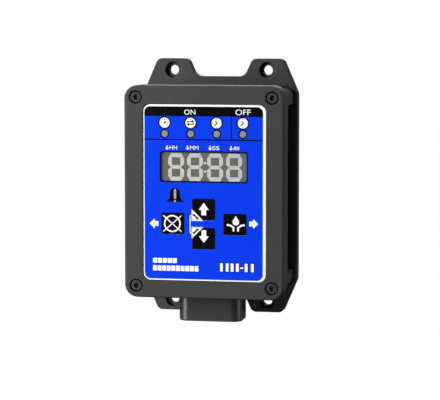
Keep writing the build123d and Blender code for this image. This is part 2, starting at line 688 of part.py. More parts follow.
save(front_board_screws.part, "front_board_screws")

# ================ main board ================
PIN_ROW_Z = -36.0           # where the connector's pins enter the main board

with BuildPart() as main_board:
    with BuildSketch(front(MAIN_BOARD_BACK)):
        board_outline(MAIN_BOARD_W, MAIN_BOARD_H)
        with GridLocations(2 * MAIN_SCREW_X, 2 * MAIN_SCREW_Z, 2, 2):
            Circle(BOARD_HOLE_R, mode=Mode.SUBTRACT)
        with Locations((0, PIN_ROW_Z)):
            with GridLocations(PIN_PITCH_X, PIN_PITCH_Y, PIN_COLUMNS, 2):
                Circle(PIN_R + 0.15, mode=Mode.SUBTRACT)
    extrude(amount=BOARD_T)
save(main_board.part, "main_board")

with BuildPart() as main_board_screws:
    with BuildSketch(front(MAIN_BOARD_FRONT)):
        with GridLocations(2 * MAIN_SCREW_X, 2 * MAIN_SCREW_Z, 2, 2):
            Circle(BOARD_SCREW_HEAD_R)
    extrude(amount=BOARD_SCREW_HEAD_H)
    fillet(main_board_screws.edges().filter_by(GeomType.CIRCLE).group_by(Axis.Y)[0], radius=0.6)
    with BuildSketch(front(MAIN_BOARD_FRONT)):
        with GridLocations(2 * MAIN_SCREW_X, 2 * MAIN_SCREW_Z, 2, 2):
            Circle(BOARD_SCREW_R)
    extrude(amount=-BOARD_T - BOARD_SCREW_REACH + 1.5)
    with BuildSketch(front(MAIN_BOARD_FRONT + BOARD_SCREW_HEAD_H)):
        with GridLocations(2 * MAIN_SCREW_X, 2 * MAIN_SCREW_Z, 2, 2):
            Rectangle(BOARD_SCREW_SLOT_L, BOARD_SCREW_SLOT_W)
            Rectangle(BOARD_SCREW_SLOT_W, BOARD_SCREW_SLOT_L)
    extrude(amount=-BOARD_SCREW_SLOT_DEPTH, mode=Mode.SUBTRACT)
save(main_board_screws.part, "main_board_screws")

# The two boards are joined by a tall pin strip and a socket strip.
LINK_HEADER_H = 10.0
LINK_SOCKET_H = 8.5
LINK_STRIP_W = 2 * LINK_PINS + 0.6
with BuildPart() as link_header:
    with BuildSketch(front(MAIN_BOARD_FRONT)):
        with Locations((LINK_X, LINK_Z)):
            Rectangle(LINK_STRIP_W, 2.4)
            with GridLocations(LINK_PITCH, 1, LINK_PINS, 1):
                Circle(0.3, mode=Mode.SUBTRACT)
    extrude(amount=LINK_HEADER_H)
save(link_header.part, "link_header")

with BuildPart() as link_pins:
    with BuildSketch(front(MAIN_BOARD_FRONT)):
        with Locations((LINK_X, LINK_Z)):
            with GridLocations(LINK_PITCH, 1, LINK_PINS, 1):
                Circle(0.25)
    extrude(amount=FRONT_BOARD_LEVEL - BOARD_T - 3.0 - MAIN_BOARD_FRONT)
save(link_pins.part, "link_pins")

with BuildPart() as link_socket:
    with BuildSketch(front(FRONT_BOARD_LEVEL - BOARD_T)):
        with Locations((LINK_X, LINK_Z)):
            Rectangle(LINK_STRIP_W, 2.6)
            with GridLocations(LINK_PITCH, 1, LINK_PINS, 1):
                Rectangle(0.7, 0.7, mode=Mode.SUBTRACT)
    extrude(amount=-LINK_SOCKET_H)
save(link_socket.part, "link_socket")

# ================ parts on the main board ================
CHIP_SIZE = 10.0
CHIP_X = 9.0
CHIP_Z = 18.0
with BuildPart() as microcontroller:
    with BuildSketch(front(MAIN_BOARD_FRONT + 0.15)):
        with Locations((CHIP_X, CHIP_Z)):
            Rectangle(CHIP_SIZE, CHIP_SIZE)
    extrude(amount=1.4)
    chamfer(microcontroller.faces().sort_by(Axis.Y)[0].edges(), length=0.2)
save(microcontroller.part, "microcontroller")

with BuildPart() as microcontroller_leads:
    with BuildSketch(front(MAIN_BOARD_FRONT)):
        for side in (-1, 1):
            with Locations((CHIP_X + side * (CHIP_SIZE / 2 + 0.5), CHIP_Z)):
                with GridLocations(1, 0.8, 1, 11):
                    Rectangle(1.0, 0.35)
            with Locations((CHIP_X, CHIP_Z + side * (CHIP_SIZE / 2 + 0.5))):
                with GridLocations(0.8, 1, 11, 1):
                    Rectangle(0.35, 1.0)
    extrude(amount=0.6)
save(microcontroller_leads.part, "microcontroller_leads")

with BuildPart() as clock_crystal:
    with BuildSketch(front(MAIN_BOARD_FRONT)):
        with Locations((CHIP_X + 11.0, CHIP_Z + 4.5)):
            SlotOverall(10.5, 4.5, rotation=90)
    extrude(amount=3.5)
    fillet(clock_crystal.faces().sort_by(Axis.Y)[0].edges(), radius=0.5)
save(clock_crystal.part, "clock_crystal")

RELAY_X = -16.0
RELAY_Z = -14.0
with BuildPart() as output_relay:
    with BuildSketch(front(MAIN_BOARD_FRONT + 0.3)):
        with Locations((RELAY_X, RELAY_Z)):
            RectangleRounded(15.5, 19.0, 0.6)
    extrude(amount=15.0)
    fillet(output_relay.faces().sort_by(Axis.Y)[0].edges(), radius=0.4)
save(output_relay.part, "output_relay")

with BuildPart() as relay_pins:
    with BuildSketch(front(MAIN_BOARD_FRONT + 0.3)):
        with Locations((RELAY_X, RELAY_Z)):
            with GridLocations(12.0, 12.2, 2, 2):
                Circle(0.4)
    extrude(amount=-0.3)
save(relay_pins.part, "relay_pins")

CAN_PLACES = [(5.0, -9.0), (17.5, -9.0)]
with BuildPart() as filter_capacitors:
    with BuildSketch(front(MAIN_BOARD_FRONT)):
        with Locations(*CAN_PLACES):
            Circle(5.0)
    extrude(amount=12.5)
    fillet(filter_capacitors.edges().filter_by(GeomType.CIRCLE).group_by(Axis.Y)[0], radius=0.6)
    for groove_x, groove_z in CAN_PLACES:
        with Locations((groove_x, -(MAIN_BOARD_FRONT + 1.8), groove_z)):
            Torus(5.2, 0.5, rotation=(90, 0, 0), mode=Mode.SUBTRACT)
save(filter_capacitors.part, "filter_capacitors")

REG_X = 22.0
REG_Z = -24.5
with BuildPart() as voltage_regulator:
    with BuildSketch(front(MAIN_BOARD_FRONT)):
        with Locations((REG_X, REG_Z)):
            Rectangle(10.0, 9.0)
    extrude(amount=4.4)
    with BuildSketch(front(MAIN_BOARD_FRONT)):
        with Locations((REG_X, REG_Z + 7.0)):
            Rectangle(10.0, 5.0)
            with Locations((0, 0.3)):
                Circle(1.6, mode=Mode.SUBTRACT)
    extrude(amount=1.3)
save(voltage_regulator.part, "voltage_regulator")

with BuildPart() as filter_choke:
    with BuildSketch(front(MAIN_BOARD_FRONT)):
        with Locations((5.5, -24.0)):
            RectangleRounded(12.0, 12.0, 1.5)
    extrude(amount=7.0)
    fillet(filter_choke.faces().sort_by(Axis.Y)[0].edges(), radius=0.6)
save(filter_choke.part, "filter_choke")

FUSE_X = -24.0
FUSE_Z = 10.0
FUSE_R = 2.5
FUSE_LEVEL = MAIN_BOARD_FRONT + 4.4
with BuildPart() as fuse:
    with BuildSketch(Plane.XY.offset(FUSE_Z - 10.0)):
        with Locations((FUSE_X, -FUSE_LEVEL)):
            Circle(FUSE_R)
    extrude(amount=20.0)
    with BuildSketch(Plane.XY.offset(FUSE_Z - 5.0)):
        with Locations((FUSE_X, -FUSE_LEVEL)):
            Circle(FUSE_R + 0.1)
            Circle(FUSE_R - 0.15, mode=Mode.SUBTRACT)
    extrude(amount=10.0, mode=Mode.SUBTRACT)
save(fuse.part, "fuse")

with BuildPart() as fuse_clips:
    for clip_z in (FUSE_Z - 9.0, FUSE_Z + 5.0):
        with BuildSketch(Plane.XY.offset(clip_z)):
            with Locations((FUSE_X, -FUSE_LEVEL)):
                Circle(FUSE_R + 0.5)
                Circle(FUSE_R + 0.05, mode=Mode.SUBTRACT)
                with Locations((0, -FUSE_R)):
                    Rectangle(3.0, 3.0, mode=Mode.SUBTRACT)
            with Locations((FUSE_X, -(MAIN_BOARD_FRONT + FUSE_LEVEL - FUSE_R - 0.3) / 2)):
                Rectangle(3.0, FUSE_LEVEL - FUSE_R - 0.3 - MAIN_BOARD_FRONT)
        extrude(amount=4.0)
save(fuse_clips.part, "fuse_clips")

CELL_X = -13.0
CELL_Z = 25.0
CELL_R = 8.0
with BuildPart() as cell_holder:
    with BuildSketch(front(MAIN_BOARD_FRONT)):
        with Locations((CELL_X, CELL_Z)):
            Circle(CELL_R + 1.2)
    extrude(amount=4.6)
    with BuildSketch(front(MAIN_BOARD_FRONT + 1.2)):
        with Locations((CELL_X, CELL_Z)):
            Circle(CELL_R + 0.1)
            with Locations((0, CELL_R)):
                Rectangle(7.0, 6.0)
    extrude(amount=3.4, mode=Mode.SUBTRACT)
save(cell_holder.part, "cell_holder")

with BuildPart() as clock_cell:
    with BuildSketch(front(MAIN_BOARD_FRONT + 1.2)):
        with Locations((CELL_X, CELL_Z)):
            Circle(CELL_R)
    extrude(amount=3.2)
    fillet(clock_cell.edges().filter_by(GeomType.CIRCLE).group_by(Axis.Y)[0], radius=0.5)
save(clock_cell.part, "clock_cell")

with BuildPart() as alarm_buzzer:
    with BuildSketch(front(MAIN_BOARD_FRONT)):
        with Locations((23.0, 4.5)):
            Circle(6.0)
    extrude(amount=9.5)
    with BuildSketch(front(MAIN_BOARD_FRONT + 9.5)):
        with Locations((23.0, 4.5)):
            Circle(1.2)
    extrude(amount=-2.0, mode=Mode.SUBTRACT)
    front_circles = alarm_buzzer.edges().filter_by(GeomType.CIRCLE).group_by(Axis.Y)[0]
    fillet(front_circles.sort_by(SortBy.LENGTH)[-1], radius=0.5)
save(alarm_buzzer.part, "alarm_buzzer")

with BuildPart() as surge_diodes:
    with BuildSketch(front(MAIN_BOARD_FRONT)):
        with Locations((9.0, 6.5)):
            with GridLocations(7.0, 1, 2, 1):
                Rectangle(3.6, 5.6)
    extrude(amount=2.3)
    chamfer(surge_diodes.faces().group_by(Axis.Y)[0].edges(), length=0.3)
save(surge_diodes.part, "surge_diodes")

# ================ connector ================
WALL_INSIDE_Z = -CAVITY_H / 2
with BuildPart() as connector_header:
    with BuildSketch(Plane.XY.offset(PORT_BOTTOM)):
        with Locations((0, PORT_Y)):
            RectangleRounded(PORT_W, PORT_DEPTH, PORT_R)
    extrude(amount=WALL_INSIDE_Z + PORT_SEAL_T - PORT_BOTTOM)
    fillet(connector_header.faces().sort_by(Axis.Z)[0].edges(), radius=0.7)
    with BuildSketch(Plane.XY.offset(WALL_INSIDE_Z + PORT_SEAL_T)):
        with Locations((0, PORT_Y)):
            RectangleRounded(PORT_W + 2 * PORT_FLANGE, PORT_DEPTH + 2 * PORT_FLANGE, PORT_R)
    extrude(amount=PORT_FLANGE_T)
    with BuildSketch(Plane.XY.offset(PORT_BOTTOM)):
        with Locations((0, PORT_Y)):
            RectangleRounded(PORT_W - 2 * PORT_WALL, PORT_DEPTH - 2 * PORT_WALL, PORT_R - PORT_WALL)
    extrude(amount=PORT_FLOOR - PORT_BOTTOM, mode=Mode.SUBTRACT)
    mouth_edges = connector_header.edges().filter_by_position(Axis.Z, PORT_BOTTOM - 0.01, PORT_BOTTOM + 0.01)
    fillet(mouth_edges, radius=PORT_RIM_R)
    # Two keying ribs stand along the socket's rear wall.
    with BuildSketch(Plane.XY.offset(PORT_BOTTOM + 2.0)):
        with Locations((0, PORT_Y + PORT_DEPTH / 2 - PORT_WALL)):
            with GridLocations(14.0, 1, 2, 1):
                Rectangle(1.6, 2.4)
    extrude(amount=PORT_FLOOR - PORT_BOTTOM - 2.0)
    with BuildSketch(Plane.XY.offset(PORT_FLOOR)):
        with Locations((0, PORT_Y)):
            with GridLocations(PIN_PITCH_X, PIN_PITCH_Y, PIN_COLUMNS, 2):
                Circle(PIN_R)
    extrude(amount=WALL_INSIDE_Z + PORT_SEAL_T + PORT_FLANGE_T - PORT_FLOOR, mode=Mode.SUBTRACT)
save(connector_header.part, "connector_header")

with BuildPart() as connector_seal:
    with BuildSketch(Plane.XY.offset(WALL_INSIDE_Z)):
        with Locations((0, PORT_Y)):
            RectangleRounded(SEAL_W, SEAL_DEPTH, PORT_R - 0.3)
            RectangleRounded(PORT_W + 2 * PORT_GAP, PORT_DEPTH + 2 * PORT_GAP, PORT_R, mode=Mode.SUBTRACT)
    extrude(amount=PORT_SEAL_T)
save(connector_seal.part, "connector_seal")

# Each contact runs up from the socket and turns back into the main board.
PIN_BEND_R = 1.5
with BuildPart() as connector_pins:
    for column in range(PIN_COLUMNS):
        pin_x = (column - (PIN_COLUMNS - 1) / 2) * PIN_PITCH_X
        for row in (-0.5, 0.5):
            pin_y = PORT_Y + row * PIN_PITCH_Y
            turn_z = PIN_ROW_Z - row * PIN_PITCH_Y
            with BuildLine() as pin_path:
                FilletPolyline(
                    (pin_x, pin_y, PIN_TIP),
                    (pin_x, pin_y, turn_z),
                    (pin_x, -MAIN_BOARD_BACK + 1.0, turn_z),
                    radius=PIN_BEND_R,
                )
            with BuildSketch(Plane(origin=(pin_x, pin_y, PIN_TIP), z_dir=(0, 0, 1))):
                Circle(PIN_R)
            sweep()
save(connector_pins.part, "connector_pins")
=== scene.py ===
"""Looks of a wall-mounted controller: materials, printed panel, studio and camera."""

import json
import math

import bmesh
import bpy
from mathutils import Matrix, Vector


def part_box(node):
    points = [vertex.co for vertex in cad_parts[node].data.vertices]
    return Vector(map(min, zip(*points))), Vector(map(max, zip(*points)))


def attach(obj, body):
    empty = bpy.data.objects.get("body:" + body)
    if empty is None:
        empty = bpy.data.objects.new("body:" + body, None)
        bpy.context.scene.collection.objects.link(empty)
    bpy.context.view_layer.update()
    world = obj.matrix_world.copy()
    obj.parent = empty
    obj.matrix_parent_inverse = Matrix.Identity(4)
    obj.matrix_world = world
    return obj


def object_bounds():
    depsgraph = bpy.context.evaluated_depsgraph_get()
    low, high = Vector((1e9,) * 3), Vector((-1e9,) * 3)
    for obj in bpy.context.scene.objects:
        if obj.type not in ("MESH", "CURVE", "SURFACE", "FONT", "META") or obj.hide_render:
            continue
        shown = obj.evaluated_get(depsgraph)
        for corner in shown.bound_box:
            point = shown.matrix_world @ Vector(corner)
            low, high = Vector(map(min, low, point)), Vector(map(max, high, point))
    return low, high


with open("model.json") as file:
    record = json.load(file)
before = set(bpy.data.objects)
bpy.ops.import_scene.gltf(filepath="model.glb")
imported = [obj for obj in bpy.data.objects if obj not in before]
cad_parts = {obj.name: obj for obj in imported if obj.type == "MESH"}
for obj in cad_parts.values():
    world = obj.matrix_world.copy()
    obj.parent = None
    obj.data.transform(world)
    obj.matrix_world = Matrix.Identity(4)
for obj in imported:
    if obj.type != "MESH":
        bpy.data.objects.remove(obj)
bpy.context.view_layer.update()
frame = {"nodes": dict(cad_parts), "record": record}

MM = 0.001

# ---- places read from the frame, in millimetres ------------------------------------------------


def span(node):
    """(x0, z0, x1, z1) of a CAD node seen from the front."""
    low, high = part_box(node)
    return low.x / MM, low.z / MM, high.x / MM, high.z / MM


def middle(node):
    """Centre (x, z) of a CAD node seen from the front."""
    x0, z0, x1, z1 = span(node)
    return (x0 + x1) / 2, (z0 + z1) / 2


FILM_X0, FILM_Z0, FILM_X1, FILM_Z1 = span("graphic_overlay")
FILM_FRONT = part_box("graphic_overlay")[0].y / MM
KEY_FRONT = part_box("key_up_cap")[0].y / MM
LID_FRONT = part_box("lid")[0].y / MM

WINDOW = span("display_window")
LED_BOX = span("led_windows")
LED_R = (LED_BOX[3] - LED_BOX[1]) / 2
LED_Z = (LED_BOX[1] + LED_BOX[3]) / 2
LED_STEP = (LED_BOX[2] - LED_BOX[0] - 2 * LED_R) / 3
LED_X = [LED_BOX[0] + LED_R + i * LED_STEP for i in range(4)]
ALARM_X, _ = middle("alarm_window")
ALARM_BOX = span("alarm_window")
ALARM_W = ALARM_BOX[2] - ALARM_BOX[0]

KEY_CENTRES = {name: middle("key_" + name + "_cap") for name in ("up", "down", "left", "right")}
KEY_BOX = span("key_up_cap")
KEY_LIP = 0.8                   # each cap is wider than its face by this lip under the film
KEY_HALF_W = (KEY_BOX[2] - KEY_BOX[0]) / 2 - KEY_LIP
KEY_HALF_H = (KEY_BOX[3] - KEY_BOX[1]) / 2 - KEY_LIP
KEY_GAP = 0.15
KEY_OPENING_R = 0.5

# ---- camera ------------------------------------------------------------------------------------
VIEW_AZIMUTH = math.radians(11.043)
VIEW_ELEVATION = math.radians(5.352)
VIEW_DISTANCE = 1.04768
VIEW_RIGHT = 0.008366
VIEW_UP = -0.003626
VIEW_LENS = 169.917

back = Vector(
    (
        math.sin(VIEW_AZIMUTH) * math.cos(VIEW_ELEVATION),
        -math.cos(VIEW_AZIMUTH) * math.cos(VIEW_ELEVATION),
        math.sin(VIEW_ELEVATION),
    )
)
right = Vector((math.cos(VIEW_AZIMUTH), math.sin(VIEW_AZIMUTH), 0))
up = back.cross(right)
target = Vector((0, LID_FRONT * MM, 0))

camera_data = bpy.data.cameras.new("camera")
camera_data.lens = VIEW_LENS
camera_data.clip_start = 0.05
camera_data.clip_end = 50
camera = bpy.data.objects.new("camera", camera_data)
camera.matrix_world = Matrix.Translation(
    target + back * VIEW_DISTANCE + right * VIEW_RIGHT + up * VIEW_UP
) @ Matrix((right, up, back)).transposed().to_4x4()
bpy.context.collection.objects.link(camera)
bpy.context.scene.camera = camera

# ---- studio ------------------------------------------------------------------------------------
bpy.context.scene.view_settings.view_transform = "Standard"

AMBIENT = 0.03


def make_world():
    """White backdrop for the camera, with only a dim even light for everything else."""
    world = bpy.data.worlds.new("studio")
    world.use_nodes = True
    nodes = world.node_tree.nodes
    links = world.node_tree.links
    nodes.clear()
    rays = nodes.new("ShaderNodeLightPath")
    strength = nodes.new("ShaderNodeMapRange")
    strength.inputs["To Min"].default_value = AMBIENT
    strength.inputs["To Max"].default_value = 1.0
    backdrop = nodes.new("ShaderNodeBackground")
    backdrop.inputs["Color"].default_value = (1, 1, 1, 1)
    output = nodes.new("ShaderNodeOutputWorld")
    links.new(rays.outputs["Is Camera Ray"], strength.inputs["Value"])
    links.new(strength.outputs["Result"], backdrop.inputs["Strength"])
    links.new(backdrop.outputs["Background"], output.inputs["Surface"])
    bpy.context.scene.world = world


make_world()


def softbox(name, azimuth, elevation, distance, width, height, watts):
    """A soft light aimed at the object; the angles are those of a viewer standing where it stands."""
    light = bpy.data.lights.new(name, "AREA")
    light.shape = "RECTANGLE"
    light.size = width
    light.size_y = height
    light.energy = watts
    a = math.radians(azimuth)
    e = math.radians(elevation)
    away = Vector((math.sin(a) * math.cos(e), -math.cos(a) * math.cos(e), math.sin(e)))
    lamp = bpy.data.objects.new(name, light)
    lamp.location = target + away * distance
    lamp.rotation_euler = away.to_track_quat("Z", "Y").to_euler()
    lamp.visible_camera = False
    bpy.context.collection.objects.link(lamp)


softbox("key_light", -50, 11, 0.9, 0.5, 0.6, 13.6)
softbox("low_front_light", -4, -38, 0.9, 0.3, 0.2, 0.9)
softbox("top_light", 0, 84, 0.6, 0.7, 0.3, 1.5)
softbox("back_top_light", 195, 32, 0.9, 0.8, 0.4, 3.6)
softbox("back_right_light", 150, 2, 0.9, 0.25, 0.6, 0.2)
softbox("right_fill", 92, 10, 0.9, 0.6, 0.8, 2.2)

FLOOR_HALF = 6.0
FLOOR_DROP = 0.25
FLOOR_GLOW = 1.0

# ---- materials ---------------------------------------------------------------------------------
NOISE_LOW = 0.3                 # nearly all of a noise texture's values lie between these two
NOISE_HIGH = 0.7
GLOSS_SPREAD = 0.05
WORN_EDGE = 0.5                 # millimetres


def new_material(name):
    """An empty node material with one Principled shader, and its object coordinates."""
    material = bpy.data.materials.new(name)
    material.use_nodes = True
    nodes = material.node_tree.nodes
    shader = nodes["Principled BSDF"]
    place = nodes.new("ShaderNodeTexCoord")
    return material, nodes, material.node_tree.links, shader, place.outputs["Object"]


def noise(nodes, links, place, size, detail=3.0):
    """Noise whose features are about size millimetres across."""
    texture = nodes.new("ShaderNodeTexNoise")
    texture.inputs["Scale"].default_value = 1 / (size * MM)
    texture.inputs["Detail"].default_value = detail
    links.new(place, texture.inputs["Vector"])
    return texture.outputs["Fac"]


def scaled(nodes, links, value, low, high):
    """A noise value mapped to low..high."""
    spread = nodes.new("ShaderNodeMapRange")
    spread.inputs["From Min"].default_value = NOISE_LOW
    spread.inputs["From Max"].default_value = NOISE_HIGH
    spread.inputs["To Min"].default_value = low
    spread.inputs["To Max"].default_value = high
    links.new(value, spread.inputs["Value"])
    return spread.outputs["Result"]


def mixed(nodes, links, factor, first, second):
    """Colour that goes from first to second with factor."""
    mix = nodes.new("ShaderNodeMix")
    mix.data_type = "RGBA"
    links.new(factor, mix.inputs["Factor"])
    for socket, colour in ((mix.inputs[6], first), (mix.inputs[7], second)):
        if isinstance(colour, tuple):
            socket.default_value = (*colour, 1)
        else:
            links.new(colour, socket)
    return mix.outputs[2]


def shade(colour, factor):
    """colour made lighter or darker."""
    return tuple(min(1.0, channel * factor) for channel in colour)


def edge_mask(nodes, links, radius):
    """1 within radius millimetres of an edge, 0 on flat ground."""
    rounded = nodes.new("ShaderNodeBevel")
    rounded.samples = 4
    rounded.inputs["Radius"].default_value = radius * MM
    true_normal = nodes.new("ShaderNodeNewGeometry")
    compare = nodes.new("ShaderNodeVectorMath")
    compare.operation = "DOT_PRODUCT"
    links.new(rounded.outputs["Normal"], compare.inputs[0])
    links.new(true_normal.outputs["Normal"], compare.inputs[1])
    spread = nodes.new("ShaderNodeMapRange")
    spread.inputs["From Min"].default_value = 1.0
    spread.inputs["From Max"].default_value = 0.8
    links.new(compare.outputs["Value"], spread.inputs["Value"])
    return spread.outputs["Result"]


def finish_surface(
    name, colour, roughness, grain, depth, mottle=0.06, mottle_size=14.0, metallic=0.0, specular=0.5, wear=0.0
):
    """Material with grain of that size and depth, faint mottling and, with wear, edges rubbed lighter."""
    material, nodes, links, shader, place = new_material(name)
    shader.inputs["Metallic"].default_value = metallic
    shader.inputs["Specular IOR Level"].default_value = specular
    cloud = noise(nodes, links, place, mottle_size, 4.0)
    fine = noise(nodes, links, place, grain, 2.0)
    tone = mixed(
        nodes, links, scaled(nodes, links, cloud, 0, 1), shade(colour, 1 - mottle), shade(colour, 1 + mottle)
    )
    gloss = scaled(nodes, links, fine, roughness - GLOSS_SPREAD, roughness + GLOSS_SPREAD)
    if wear:
        mask = edge_mask(nodes, links, WORN_EDGE)
        tone = mixed(nodes, links, mask, tone, shade(colour, 1 + wear))
    links.new(tone, shader.inputs["Base Color"])
    links.new(gloss, shader.inputs["Roughness"])
    bump = nodes.new("ShaderNodeBump")
    bump.inputs["Strength"].default_value = 1.0
    bump.inputs["Distance"].default_value = depth * MM
    links.new(fine, bump.inputs["Height"])
    links.new(bump.outputs["Normal"], shader.inputs["Normal"])
    return material


DARK_GREY = (0.0338, 0.0338, 0.0338)

SURFACES = {
    "housing_plastic": finish_surface(
        "housing_plastic", DARK_GREY, 0.55, 0.35, 0.006, specular=0.35, wear=0.15
    ),
    "connector_plastic": finish_surface(
        "connector_plastic", (0.031, 0.031, 0.031), 0.31, 0.4, 0.002, specular=0.85, wear=0.1
    ),
    "seal_rubber": finish_surface("seal_rubber", (0.012, 0.012, 0.012), 0.75, 0.2, 0.01),
    "black_screws": finish_surface("black_screws", (0.030, 0.030, 0.030), 0.42, 0.3, 0.003, wear=0.4),
    "insert_brass": finish_surface("insert_brass", (0.7, 0.5, 0.2), 0.3, 0.5, 0.003, metallic=1.0),
    "overlay_film": finish_surface("overlay_film", (0.93, 0.93, 0.93), 0.4, 0.25, 0.002, mottle=0.01),
    "lamp_film": finish_surface(
        "lamp_film", (0.25, 0.255, 0.245), 0.35, 0.6, 0.004, mottle=0.12, mottle_size=1.5, specular=0.3
    ),
    "key_plastic": finish_surface("key_plastic", (0.0016, 0.0014, 0.0010), 0.38, 0.3, 0.004, specular=0.08),
    "black_plastic": finish_surface("black_plastic", (0.02, 0.02, 0.02), 0.45, 0.4, 0.005),
    "tinned_metal": finish_surface("tinned_metal", (0.62, 0.62, 0.60), 0.28, 0.4, 0.003, metallic=1.0),
    "display_grey": finish_surface(
        "display_grey", (0.120, 0.119, 0.112), 0.6, 0.3, 0.003, mottle=0.08, specular=0.1
    ),
    "display_segment": finish_surface(
        "display_segment", (0.61, 0.615, 0.605), 0.5, 0.5, 0.003, mottle=0.04, mottle_size=2.0, specular=0.1
    ),
    "lamp_resin": finish_surface("lamp_resin", (0.55, 0.54, 0.50), 0.2, 0.8, 0.003),
    "board_laminate": finish_surface("board_laminate", (0.015, 0.09, 0.03), 0.35, 0.6, 0.006, mottle=0.12),
    "plated_screws": finish_surface("plated_screws", (0.6, 0.6, 0.62), 0.3, 0.4, 0.003, metallic=1.0),
    "relay_case": finish_surface("relay_case", (0.02, 0.09, 0.35), 0.3, 0.5, 0.003),
    "can_sleeve": finish_surface("can_sleeve", (0.015, 0.015, 0.02), 0.3, 0.5, 0.002),
    "ferrite": finish_surface("ferrite", (0.05, 0.05, 0.055), 0.7, 0.3, 0.02),
    "fuse_glass": finish_surface("fuse_glass", (0.6, 0.65, 0.65), 0.08, 1.0, 0.002),
    "clip_metal": finish_surface("clip_metal", (0.6, 0.55, 0.35), 0.3, 0.4, 0.003, metallic=1.0),
    "cell_steel": finish_surface("cell_steel", (0.6, 0.6, 0.6), 0.32, 0.3, 0.003, metallic=1.0),
    "crystal_can": finish_surface("crystal_can", (0.55, 0.55, 0.55), 0.3, 0.3, 0.003, metallic=1.0),
    "contact_pins": finish_surface("contact_pins", (0.75, 0.6, 0.3), 0.25, 0.4, 0.002, metallic=1.0),
}


def clear_film():
    """Thin clear window with a light satin surface."""
    material, nodes, links, shader, place = new_material("clear_film")
    shader.inputs["Base Color"].default_value = (0.3, 0.3, 0.29, 1)
    shader.inputs["Alpha"].default_value = 0.06
    links.new(scaled(nodes, links, noise(nodes, links, place, 3.0), 0.18, 0.28), shader.inputs["Roughness"])
    return material


SURFACES["clear_film"] = clear_film()


def dark_ink(name, colour, mottle):
    """Printed ink with hardly any shine or texture."""
    return finish_surface(name, colour, 0.35, 0.4, 0.001, mottle=mottle, specular=0.06)


INKS = {
    "blue_ink": dark_ink("blue_ink", (0.0026, 0.0435, 0.79), 0.015),
    "navy_ink": dark_ink("navy_ink", (0.0008, 0.0015, 0.030), 0.03),
    "black_ink": dark_ink("black_ink", (0.002, 0.002, 0.002), 0.03),
    "white_ink": finish_surface("white_ink", (0.93, 0.93, 0.93), 0.5, 0.4, 0.001, mottle=0.01, specular=0.2),
}

# The bell's window is a paler print of the same film.
ALARM_FILM = finish_surface(
    "alarm_film", (0.37, 0.37, 0.355), 0.35, 0.6, 0.004, mottle=0.12, mottle_size=1.5, specular=0.3
)

for part in frame["record"]["subparts"]:
    surface = ALARM_FILM if part["node"] == "alarm_window" else SURFACES[part["material_slot"]]
    for socket in frame["nodes"][part["node"]].material_slots:
        socket.material = surface

# ---- flat drawing ------------------------------------------------------------------------------
# Shapes are closed loops of (x, z) points in millimetres, as seen from the front.


def arc(x, z, radius, start, end, steps=24):
    """Points along an arc; angles in degrees, counter-clockwise."""
    angles = [math.radians(start + (end - start) * i / steps) for i in range(steps + 1)]
    return [(x + radius * math.cos(a), z + radius * math.sin(a)) for a in angles]


def disc(x, z, radius, steps=48):
    """Full circle."""
    return arc(x, z, radius, 0, 360, steps)[:-1]


def box(x0, z0, x1, z1, low_r=0.0, high_r=0.0):
    """Rectangle whose low and high corners may be rounded."""
    points = []
    for x, z, radius, start in (
        (x0, z0, low_r, 180),
        (x1, z0, low_r, 270),
        (x1, z1, high_r, 0),
        (x0, z1, high_r, 90),
    ):
        inward_x = radius if x == x0 else -radius
        inward_z = radius if z == z0 else -radius
        if radius:
            points += arc(x + inward_x, z + inward_z, radius, start, start + 90, 10)
        else:
            points.append((x, z))
    return points


def grown(bounds, margin):
    """Bounds moved outward by margin on every side."""
    x0, z0, x1, z1 = bounds
    return x0 - margin, z0 - margin, x1 + margin, z1 + margin


def stroke(points, width):
    """Outline of an open line of that width with mitred bends and square ends."""
    sides = [[], []]
    for i, point in enumerate(points):
        here = Vector(point)
        into = (here - Vector(points[i - 1])).normalized() if i else None
        out = (Vector(points[i + 1]) - here).normalized() if i < len(points) - 1 else None
        first = into or out
        second = out or into
        across = Vector((-first.y - second.y, first.x + second.x)).normalized()
        reach = width / 2 / across.dot(Vector((-first.y, first.x)))
        sides[0].append(tuple(here + across * reach))
        sides[1].append(tuple(here - across * reach))
    return sides[0] + sides[1][::-1]


def turned(points, quarter_turns, x, z):
    """Points turned about the origin by quarter turns, then moved to (x, z)."""
    for _ in range(quarter_turns % 4):
        points = [(-pz, px) for px, pz in points]
    return [(px + x, pz + z) for px, pz in points]


def arrow(tip_to_head, head_half, tip_to_tail, stem_half):
    """Arrow pointing up, with its tip at the origin."""
    return [
        (0, 0),
        (-head_half, -tip_to_head),
        (-stem_half, -tip_to_head),
        (-stem_half, -tip_to_tail),
        (stem_half, -tip_to_tail),
        (stem_half, -tip_to_head),
        (head_half, -tip_to_head),
    ]


def flat_mesh(curve):
    """Mesh of a curve drawn in millimetres, stood up to face the front."""
    holder = bpy.data.objects.new("drawing", curve)
    mesh = bpy.data.meshes.new_from_object(holder)
    bpy.data.objects.remove(holder)
    mesh.transform(Matrix.Rotation(math.pi / 2, 4, "X"))
    return mesh


def cut_out(loops, bottom, top):
    """Solid between two heights above the film, from outlines; a loop inside another is a hole."""
    curve = bpy.data.curves.new("outline", "CURVE")
    curve.dimensions = "2D"
    curve.fill_mode = "BOTH"
    curve.extrude = (top - bottom) / 2
    for loop in loops:
        spline = curve.splines.new("POLY")
        spline.points.add(len(loop) - 1)
        for point, (x, z) in zip(spline.points, loop):
            point.co = (x, z, 0, 1)
        spline.use_cyclic_u = True
    mesh = flat_mesh(curve)
    mesh.transform(Matrix.Translation((0, -(bottom + top) / 2, 0)))
    return mesh


